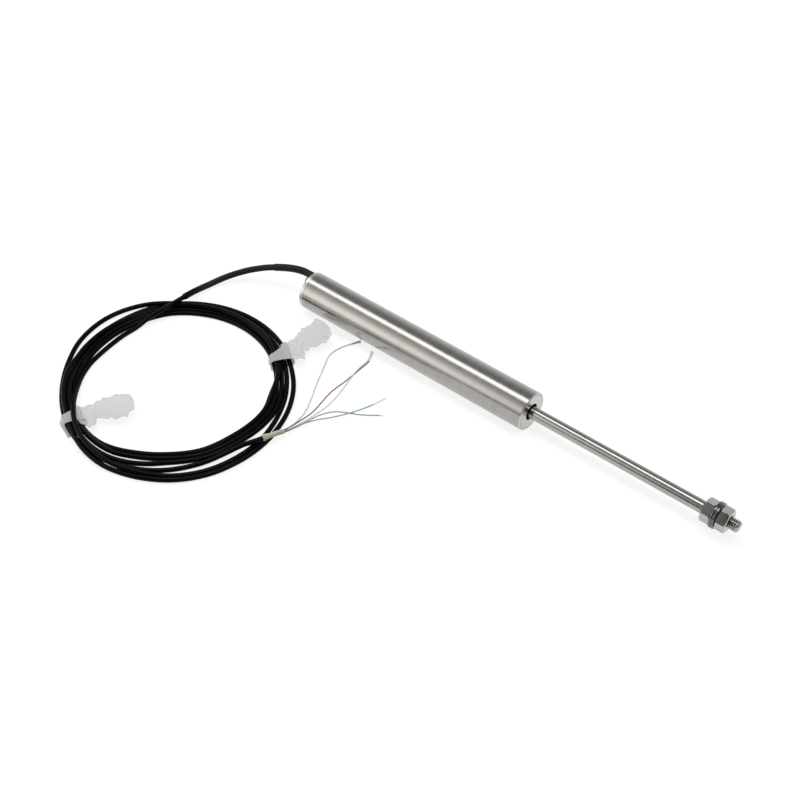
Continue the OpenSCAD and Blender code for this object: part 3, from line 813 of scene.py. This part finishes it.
def rearCap(p, hole):
    inner = p["spigot"] - p["seatDepth"]
    outline = [(p["rear"], 0), (p["rear"], p["radius"] - p["rearChamfer"]),
               (p["rear"] + p["rearTaper"], p["radius"]), (p["joint"], p["radius"]),
               (p["joint"], p["capRadius"]), (p["spigot"], p["capRadius"]),
               (p["spigot"], p["seat"]), (inner, p["seat"]), (inner, 0)]
    cap = turnedPiece("rear_head", softEdges(outline, p["capRounds"]), False)
    # the cable's hole, with a wider seat for the moulded guide
    start, end = p["rear"] - hole["spare"], p["spigot"] + hole["spare"]
    seat = p["rear"] + hole["seatDepth"]
    mouth = hole["seatHole"] + hole["edge"]
    bore = [(start, 0), (start, mouth), (p["rear"], mouth),
            (p["rear"] + hole["edge"], hole["seatHole"]), (seat, hole["seatHole"]),
            (seat, hole["cableHole"]), (end, hole["cableHole"]), (end, 0)]
    cutter = turnedPiece("exit_cutter", bore, False, hole["segments"], hole["axis"])
    cut = cap.modifiers.new("exit", "BOOLEAN")
    cut.object = cutter
    cut.operation = "DIFFERENCE"
    cut.solver = "EXACT"
    bpy.context.view_layer.update()
    settled = cap.evaluated_get(bpy.context.evaluated_depsgraph_get())
    drilled = bpy.data.meshes.new_from_object(settled)
    cap.modifiers.remove(cut)
    cap.data = drilled
    bpy.data.objects.remove(cutter)
    cap.data.shade_smooth()
    cap.data.set_sharp_from_angle(angle=math.radians(turnedSharp))
    return cap


def finishZone(piece, finishName, zone):
    leanFrom, leanTo, farFrom, farTo = zone
    piece.data.materials.append(finishes[finishName])
    for side in piece.data.polygons:
        far = math.hypot(side.center.y, side.center.z) / mm
        if leanFrom < side.normal.x < leanTo and farFrom < far < farTo:
            side.material_index = 1


tube = fitPiece(housingTube(housingPlan), "housingSteel", ("body_tube",))
finishZone(tube, "capSteel", housingPlan["frontEdgeZone"])
face = fitPiece(frontFace(housingPlan), "faceSteel", ("front_cap",))
# painted shade: the face's hole wall is steel, coloured black like the bush
finishZone(face, "bushPolymerAndBoreShade", housingPlan["holeShadeZone"])
rearHead = fitPiece(rearCap(housingPlan, exitPlan), "capSteel", ("rear_cap",))
finishZone(rearHead, "chamferSteel", housingPlan["chamferZone"])
print("housing turned")


# the moulded sleeve that guides the lead out of the rear face
grommetPlan = {
    "route": [(2.98, 4.951, 13.231), (-3, 4.951, 13.231)] + cablePlan["lead"][:4]
             + [(-22.6, 0.16, 10.7)],
    "spacing": 0.5,
    "bore": 1.62,
    "radius": 1.88,
    "sides": 32,
    "rounding": (0.3, 0.6, 0.85, 1.0),
    "sharp": 40,
}


def cableGrommet(p):
    line = smoothRoute([onFloor(q) for q in p["route"]], p["spacing"])
    wall = p["radius"] - p["bore"]
    hoops = [(0, p["bore"])] + [(k, p["radius"]) for k in range(len(line) - 1)]
    for share in p["rounding"]:
        hoops.append((len(line) - 1, p["bore"] + wall * math.sqrt(1 - share * share)))
    corners, faces = [], []
    for k, r in hoops:
        corners += hoop(line[k], *frameAt(line, k)[1:], r, p["sides"])
    joinRings(faces, 0, len(hoops), p["sides"])
    return meshPiece("cable_guide", corners, faces, p["sharp"])


grommet = fitPiece(cableGrommet(grommetPlan), "grommetRubber", ("cable_grommet",))
print("cable guide made")


# the sliding rod: plain shank, and a cut thread that follows its own helix
rodPlan = {
    "radius": 3.0,
    "spigotRadius": 2.0,
    "spigot": 14.8,
    "core": 24.8,
    "rounds": [0, 0.3, 0.05, 0.2, 0],
    "threadStart": 157.0,
    "lastRow": 0.5,
    "shoulder": 0.08,
    "tip": 174.5,
    "threadRadius": 2.925,
    "threadDepth": 0.6,
    # shares of a pitch where the crest, the falling flank and the root end
    "profile": (0.16, 0.46, 0.70),
    "runOut": 1.2,
    "pitch": 1.0,
    "chamfer": 0.85,
    "segments": 72,
    "rows": 14,
    "sharp": 28,
}


def threadShape(profile, phase):
    # share of the thread's depth across one pitch: crest, flank, root, flank
    crest, flank, root = profile
    if phase < crest:
        return 0.0
    if phase < flank:
        return (phase - crest) / (flank - crest)
    if phase < root:
        return 1.0
    return 1 - (phase - root) / (1 - root)


def slidingRod(p):
    corners, faces = [], []
    count = p["segments"]
    thread = p["threadStart"]
    shank = [(p["spigot"], 0), (p["spigot"], p["spigotRadius"]), (p["core"], p["spigotRadius"]),
             (p["core"], p["radius"]), (thread, p["radius"])]
    shank = softEdges(shank, p["rounds"])[:-1] + [(thread - p["lastRow"], p["radius"])]
    shank += [(thread - p["shoulder"], p["radius"]), (thread, p["threadRadius"])]
    for x, r in shank:
        corners += ringAt(x, r, count)
    joinRings(faces, 0, len(shank), count)
    # rows follow the helix, so a row joins the one a pitch further after a full turn
    grid = []
    length = p["tip"] - thread
    rows = round((length / p["pitch"] + 1) * p["rows"])
    for i in range(-p["rows"], rows + 1):
        depth = p["threadDepth"] * threadShape(p["profile"], (i / p["rows"]) % 1.0)
        row = []
        for k in range(count + 1):
            reach = min(max((i / p["rows"] + k / count) * p["pitch"], 0), length)
            r = p["threadRadius"] - depth * min(1, reach / p["runOut"])
            r = min(r, p["threadRadius"] - p["chamfer"] + length - reach)
            a = math.tau * k / count
            row.append((thread + reach, r * math.cos(a), r * math.sin(a)))
        grid.append(row)
    addSheet(corners, faces, grid)
    end = len(corners)
    corners.append((p["tip"], 0, 0))
    corners += ringAt(p["tip"], p["threadRadius"] - p["chamfer"], count)
    for k in range(count):
        faces.append((end, end + 1 + k, end + 1 + (k + 1) % count))
    return meshPiece("sliding_rod", corners, faces, p["sharp"])


fitPiece(slidingRod(rodPlan), "rodSteel", ("push_rod",), "armature")
print("rod turned and threaded")


# nuts and washers on the rod's end
nutPlan = {
    "flats": 10.0,
    "height": 5.0,
    "faceEdge": 0.3,
    "faceAngle": 30,
    "bore": 2.945,
    "sink": 0.4,
    "cornerRound": 0.35,
    # degrees from the middle of a flat, and round a corner
    "flatSteps": (-21, -13, -4.5, 4.5, 13, 21),
    "cornerSteps": (-30, -20, -10, 0, 10, 20, 30),
    "sharp": 12,
    "nuts": {"inner_nut": (157.5, 7), "outer_nut": (164.9, 13)},
}
washerPlan = {
    "radius": 6.25,
    "bore": 3.2,
    "thickness": 1.2,
    "rounds": [0.1, 0.28, 0.28, 0.1],
    "roundSteps": 4,
    "segments": 96,
    "washers": {"inner_washer": 162.5, "outer_washer": 163.7},
}


def hexNut(name, p, x, turn):
    half = p["flats"] / 2
    bulge = p["cornerRound"]
    hub = (half - bulge) / math.cos(math.radians(30))
    rim = []
    for flat in range(6):
        middle = turn + 60 * flat
        for offset in p["flatSteps"]:
            rim.append((middle + offset, half / math.cos(math.radians(offset))))
        for swing in p["cornerSteps"]:
            bend = math.radians(swing)
            spot = Vector((hub + bulge * math.cos(bend), bulge * math.sin(bend)))
            rim.append((middle + 30 + math.degrees(math.atan2(spot.y, spot.x)), spot.length))
    face = half - p["faceEdge"]
    end = x + p["height"]
    lip = p["bore"] + p["sink"]
    corners, faces = [], []
    for angle, r in rim:
        a = math.radians(angle)
        fall = (r - face) * math.tan(math.radians(p["faceAngle"]))
        column = [(x + p["sink"], p["bore"]), (x, lip), (x, face), (x + fall, r),
                  (end - fall, r), (end, face), (end, lip), (end - p["sink"], p["bore"])]
        corners += [(cx, cr * math.cos(a), cr * math.sin(a)) for cx, cr in column]
    columns, tall = len(rim), len(column)
    for k in range(columns):
        n = (k + 1) % columns
        for i in range(tall):
            j = (i + 1) % tall
            faces.append((k * tall + i, n * tall + i, n * tall + j, k * tall + j))
    return meshPiece(name, corners, faces, p["sharp"])


def plainWasher(name, p, x):
    end = x + p["thickness"]
    outline = [(x, p["bore"]), (x, p["radius"]), (end, p["radius"]), (end, p["bore"])]
    return turnedPiece(name, softEdges(outline, p["rounds"], p["roundSteps"]), True, p["segments"])


for nutName, (nutX, nutTurn) in nutPlan["nuts"].items():
    nut = hexNut(nutName + "_hex", nutPlan, nutX, nutTurn)
    fitPiece(nut, "fastenerSteel", (nutName,), "armature")
for washerName, washerX in washerPlan["washers"].items():
    washer = plainWasher(washerName + "_ring", washerPlan, washerX)
    fitPiece(washer, "washerSteel", (washerName,), "armature")
print("nuts and washers made")


# pieces whose solid is right keep it and get their finish
insidePlan = {
    "front_bush": "bushPolymerAndBoreShade",
    "bore_liner": "linerSteel",
    "coil_former": "formerPlastic",
    "primary_coil": "windingCopper",
    "secondary_coil_front": "windingCopper",
    "secondary_coil_rear": "windingCopper",
    "magnetic_shield": "shieldMetal",
    "terminal_board": "boardLaminate",
    "core_guide": "guidePolymer",
    "guide_screw": "screwSteel",
    "core": "coreIron",
}
for nodeName, finishName in insidePlan.items():
    nodes[nodeName].data.materials.clear()
    nodes[nodeName].data.materials.append(finishes[finishName])
print("inner pieces finished:", len(insidePlan))


# studio: pale floor, one long light overhead and a soft wall of light on the camera's side
studioPlan = {
    "floorSize": 8.0,
    "floorGap": 0.02,
    "floorColor": (0.32, 0.32, 0.32),
    "floorGlow": 0.80,
    "stripPlace": (-0.30, 0.018, 0.9),
    "stripSize": (1.9, 0.33),
    "stripLevel": 2.85,
    # level of the light round the X axis, in degrees from the far side over the top
    "room": [(0, 0.85), (14, 0.82), (26, 0.60), (38, 0.42), (50, 0.30), (66, 0.27), (96, 0.34),
             (113, 0.22), (130, 0.10), (150, 0.06), (172, 0.05), (176, 0.03), (180, 0.02)],
    "roomTint": (0.985, 1.0, 1.03),
    # the room is darker towards the rear: share of its level over the direction's X
    "roomFade": [(-0.90, 0.25), (-0.72, 1.0)],
    # the wall's own level, over the same angle
    "wall": [(98, 0.0), (108, 0.28), (118, 0.62), (127, 0.96), (136, 1.49), (145, 1.98),
             (155, 2.13), (162, 1.90), (167, 1.54), (170, 1.22), (173, 0.62), (175, 0.20),
             (177, 0.0)],
    "wallTop": 2.2,
    "wallTint": (1.0, 0.965, 0.935),
    # its lower edge is slanted: degrees over the direction's X, from this share of half a turn on
    "wallSlant": 80.0,
    "wallMiddle": -0.40,
    "slantFrom": 0.62,
    "slantGrowth": 3,
    # the wall fades towards the front: share of its level over the direction's X
    "wallFade": [(-0.60, 1.06), (-0.51, 1.05), (-0.46, 1.0), (-0.42, 0.94), (-0.385, 0.86),
                 (-0.366, 0.75), (-0.351, 0.54), (-0.323, 0.50), (-0.294, 0.41), (-0.2645, 0.39),
                 (-0.242, 0.36), (-0.2265, 0.04), (-0.219, 0.0)],
}


def mathNode(tree, operation, first, second):
    node = addNode(tree, "Math")
    node.operation = operation
    for socket, value in zip(node.inputs, (first, second)):
        if isinstance(value, (int, float)):
            socket.default_value = value
        else:
            tree.links.new(value, socket)
    return node.outputs[0]


def layFloor(p):
    half = p["floorSize"] / 2
    z = (floorLevel - p["floorGap"]) * mm
    data = bpy.data.meshes.new("floor")
    data.from_pydata([(-half, -half, z), (half, -half, z), (half, half, z), (-half, half, z)],
                     [], [(0, 1, 2, 3)])
    floor = bpy.data.objects.new("floor", data)
    scene.collection.objects.link(floor)
    material = bpy.data.materials.new("paleFloor")
    material.use_nodes = True
    tree = material.node_tree
    tree.nodes.remove(tree.nodes["Principled BSDF"])
    diffuse = addNode(tree, "BsdfDiffuse", {"Color": (*p["floorColor"], 1)})
    # the glow whitens what is seen, directly or in metal and film, and lights nothing
    glow = addNode(tree, "Emission")
    rays = addNode(tree, "LightPath").outputs
    seen = mathNode(tree, "MAXIMUM", rays["Is Camera Ray"], rays["Is Glossy Ray"])
    seen = mathNode(tree, "MAXIMUM", seen, rays["Is Transmission Ray"])
    both = addNode(tree, "AddShader")
    link = tree.links.new
    link(mathNode(tree, "MULTIPLY", seen, p["floorGlow"]), glow.inputs["Strength"])
    link(diffuse.outputs[0], both.inputs[0])
    link(glow.outputs[0], both.inputs[1])
    link(both.outputs[0], tree.nodes["Material Output"].inputs["Surface"])
    data.materials.append(material)


def lightStudio(p):
    data = bpy.data.lights.new("overheadStrip", "AREA")
    data.shape = "RECTANGLE"
    data.size, data.size_y = p["stripSize"]
    data.energy = p["stripLevel"] * math.pi * data.size * data.size_y
    strip = bpy.data.objects.new("overheadStrip", data)
    strip.location = p["stripPlace"]
    scene.collection.objects.link(strip)
    world = bpy.data.worlds.new("studio")
    scene.world = world
    world.use_nodes = True
    tree = world.node_tree
    link = tree.links.new

    def work(operation, first, second):
        return mathNode(tree, operation, first, second)

    def graph(value, stops):
        return addRamp(tree, value, [(place, [level] * 3) for place, level in stops])

    coords = addNode(tree, "TexCoord")
    parts = addNode(tree, "SeparateXYZ")
    link(coords.outputs["Generated"], parts.inputs[0])
    aside = parts.outputs["X"]
    round01 = work("DIVIDE", work("ARCTAN2", parts.outputs["Z"], parts.outputs["Y"]), math.pi)
    slant = work("MULTIPLY", work("SUBTRACT", aside, p["wallMiddle"]), p["wallSlant"] / 180)
    lower = work("MULTIPLY", work("SUBTRACT", round01, p["slantFrom"]), p["slantGrowth"])
    lower = work("MINIMUM", work("MAXIMUM", lower, 0), 1)
    slanted = work("ADD", round01, work("MULTIPLY", slant, lower))
    room = graph(round01, [(a / 180, level) for a, level in p["room"]])
    wall = graph(slanted, [(a / 180, level / p["wallTop"]) for a, level in p["wall"]])
    across = work("MULTIPLY", work("ADD", aside, 1), 0.5)
    wallFade = graph(across, [((x + 1) / 2, level) for x, level in p["wallFade"]])
    roomFade = graph(across, [((x + 1) / 2, level) for x, level in p["roomFade"]])
    wall = work("MULTIPLY", work("MULTIPLY", wall, wallFade), p["wallTop"])
    roomGlow = tree.nodes["Background"]
    roomGlow.inputs["Color"].default_value = (*p["roomTint"], 1)
    wallGlow = addNode(tree, "Background", {"Color": (*p["wallTint"], 1)})
    both = addNode(tree, "AddShader")
    link(work("MULTIPLY", room, roomFade), roomGlow.inputs["Strength"])
    link(wall, wallGlow.inputs["Strength"])
    link(roomGlow.outputs[0], both.inputs[0])
    link(wallGlow.outputs[0], both.inputs[1])
    link(both.outputs[0], tree.nodes["World Output"].inputs["Surface"])


layFloor(studioPlan)
lightStudio(studioPlan)
print("studio lit")
